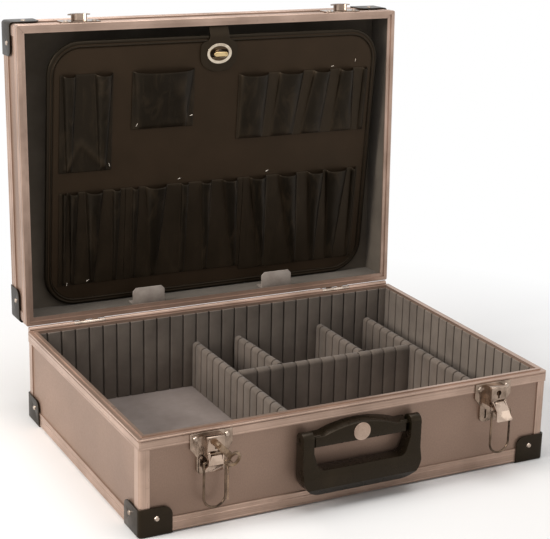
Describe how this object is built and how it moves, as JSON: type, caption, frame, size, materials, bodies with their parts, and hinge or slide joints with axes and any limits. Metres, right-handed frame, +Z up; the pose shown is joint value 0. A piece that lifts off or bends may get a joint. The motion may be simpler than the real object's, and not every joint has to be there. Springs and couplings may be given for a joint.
{
  "type": "tool and collection case",
  "caption": "Hinged aluminium-framed case, open, with a slotted, divided base, a tilting pocket pallet in the lid, draw latches, a folding handle and black corner caps.",
  "frame": {"origin": "centre of the base's footprint, on the plane of the corner caps' undersides", "axes": "+X to the right seen from the front, along the length; +Y to the back, where the hinges are; +Z up"},
  "size_m": [0.4646, 0.4519, 0.4415],
  "materials": {
    "panel": "aluminium-faced board, satin brushed",
    "rail": "satin anodised",
    "cap": "black, slightly glossy",
    "rivet": "nickel plated",
    "latch": "nickel plated, polished",
    "grip": "black, fine grain",
    "badge": "plain satin disc",
    "wall_lining": "short-napped grey lining over board",
    "floor_lining": "smooth light grey lining",
    "divider": "short-napped grey cover over board",
    "pallet": "dark brown leathercloth over board",
    "pocket": "near-black leathercloth",
    "strap": "dark leathercloth",
    "bracket": "light grey",
    "key": "nickel plated"
  },
  "bodies": {
    "base": {"base_bottom_panel": "panel", "base_front_panel": "panel", "base_back_panel": "panel", "base_side_panels": "panel", "base_rim_rail": "rail", "base_bottom_rail": "rail", "base_corner_posts": "rail", "base_corner_caps": "cap", "base_rivets": "rivet", "floor_lining": "floor_lining", "lining_front": "wall_lining", "lining_back": "wall_lining", "lining_left": "wall_lining", "lining_right": "wall_lining", "latch_plates": "latch", "lock_boxes": "latch", "lever_pins": "latch", "handle_bracket": "grip", "handle_badge": "badge", "handle_pins": "latch", "hinge_leaves_base": "latch", "hinge_pins": "latch"},
    "lid": {"lid_top_panel": "panel", "lid_front_panel": "panel", "lid_back_panel": "panel", "lid_side_panels": "panel", "lid_rim_rail": "rail", "lid_edge_rail": "rail", "lid_corner_posts": "rail", "lid_corner_caps": "cap", "lid_rivets": "rivet", "lid_back_lining": "wall_lining", "lid_wall_lining": "wall_lining", "catches": "latch", "hinge_leaves_lid": "latch", "pallet_brackets": "bracket"},
    "lever_l": {"lever_left": "latch"},
    "lever_r": {"lever_right": "latch"},
    "bail_l": {"bail_left": "latch"},
    "bail_r": {"bail_right": "latch"},
    "handle": {"handle_grip": "grip"},
    "key": {"key": "key", "key_ring": "key"},
    "spare": {"spare_key": "key"},
    "pallet": {"pallet_board": "pallet", "pocket_row_1": "pocket", "pocket_row_2": "pocket", "pocket_row_3": "pocket", "pocket_tall": "pocket", "pocket_wide": "pocket", "pocket_loops": "pocket", "knob_plate": "latch"},
    "knob": {"turn_knob": "latch"},
    "strap": {"strap": "strap", "eyelet": "latch"},
    "div_1": {"divider_1": "divider"},
    "div_2": {"divider_2": "divider"},
    "div_3": {"divider_3": "divider"},
    "div_4": {"divider_4": "divider"},
    "div_5": {"divider_5": "divider"}
  },
  "joints": [
    {"name": "lid_hinge", "type": "hinge", "parent": "base", "child": "lid", "pos_m": [0, 0.1686, 0.1], "axis": [-1, 0, 0], "range_deg": [-91.6, 0]},
    {"name": "lever_left_turn", "type": "hinge", "parent": "base", "child": "lever_l", "pos_m": [-0.1573, -0.176, 0.079], "axis": [-1, 0, 0], "range_deg": [-9, 55]},
    {"name": "lever_right_turn", "type": "hinge", "parent": "base", "child": "lever_r", "pos_m": [0.1616, -0.176, 0.079], "axis": [-1, 0, 0], "range_deg": [-64, 0]},
    {"name": "bail_left_swing", "type": "hinge", "parent": "lever_l", "child": "bail_l", "pos_m": [-0.1573, -0.17476, 0.07032], "axis": [1, 0, 0], "range_deg": [-192.92, 0]},
    {"name": "bail_right_swing", "type": "hinge", "parent": "lever_r", "child": "bail_r", "pos_m": [0.1616, -0.1824, 0.073], "axis": [1, 0, 0], "range_deg": [-247.92, 0]},
    {"name": "handle_swing", "type": "hinge", "parent": "base", "child": "handle", "pos_m": [0, -0.1735, 0.075], "axis": [-1, 0, 0], "range_deg": [0, 95]},
    {"name": "key_turn", "type": "hinge", "parent": "base", "child": "key", "pos_m": [-0.1573, -0.185, 0.0894], "axis": [0, -1, 0], "range_deg": [0, 90]},
    {"name": "spare_key_swing", "type": "hinge", "parent": "key", "child": "spare", "pos_m": [-0.1602, -0.21053, 0.08125], "axis": [0.8962, -0.4437, 0], "range_deg": [-20, 20]},
    {"name": "pallet_tilt", "type": "hinge", "parent": "lid", "child": "pallet", "pos_m": [0.0069, 0.20894, 0.11168], "axis": [1, 0, 0], "range_deg": [-6.8, 0]},
    {"name": "knob_turn", "type": "hinge", "parent": "pallet", "child": "knob", "pos_m": [0.0035, 0.17805, 0.39323], "axis": [0, -0.9958, -0.0915], "range_deg": [0, 90]},
    {"name": "strap_lift", "type": "hinge", "parent": "lid", "child": "strap", "pos_m": [0.0035, 0.18232, 0.42634], "axis": [-1, 0, 0], "range_deg": [0, 20]},
    {"name": "divider_1_lift", "type": "slide", "parent": "base", "child": "div_1", "axis": [0, 0, 1], "range_m": [0, 0.12]},
    {"name": "divider_2_lift", "type": "slide", "parent": "base", "child": "div_2", "axis": [0, 0, 1], "range_m": [0, 0.12]},
    {"name": "divider_3_lift", "type": "slide", "parent": "base", "child": "div_3", "axis": [0, 0, 1], "range_m": [0, 0.12]},
    {"name": "divider_4_lift", "type": "slide", "parent": "base", "child": "div_4", "axis": [0, 0, 1], "range_m": [0, 0.12]},
    {"name": "divider_5_lift", "type": "slide", "parent": "base", "child": "div_5", "axis": [0, 0, 1], "range_m": [0, 0.12]}
  ],
  "couplings": [
    {"joint": "bail_right_swing", "follows": "lever_right_turn", "ratio": 3.8737}
  ]
}
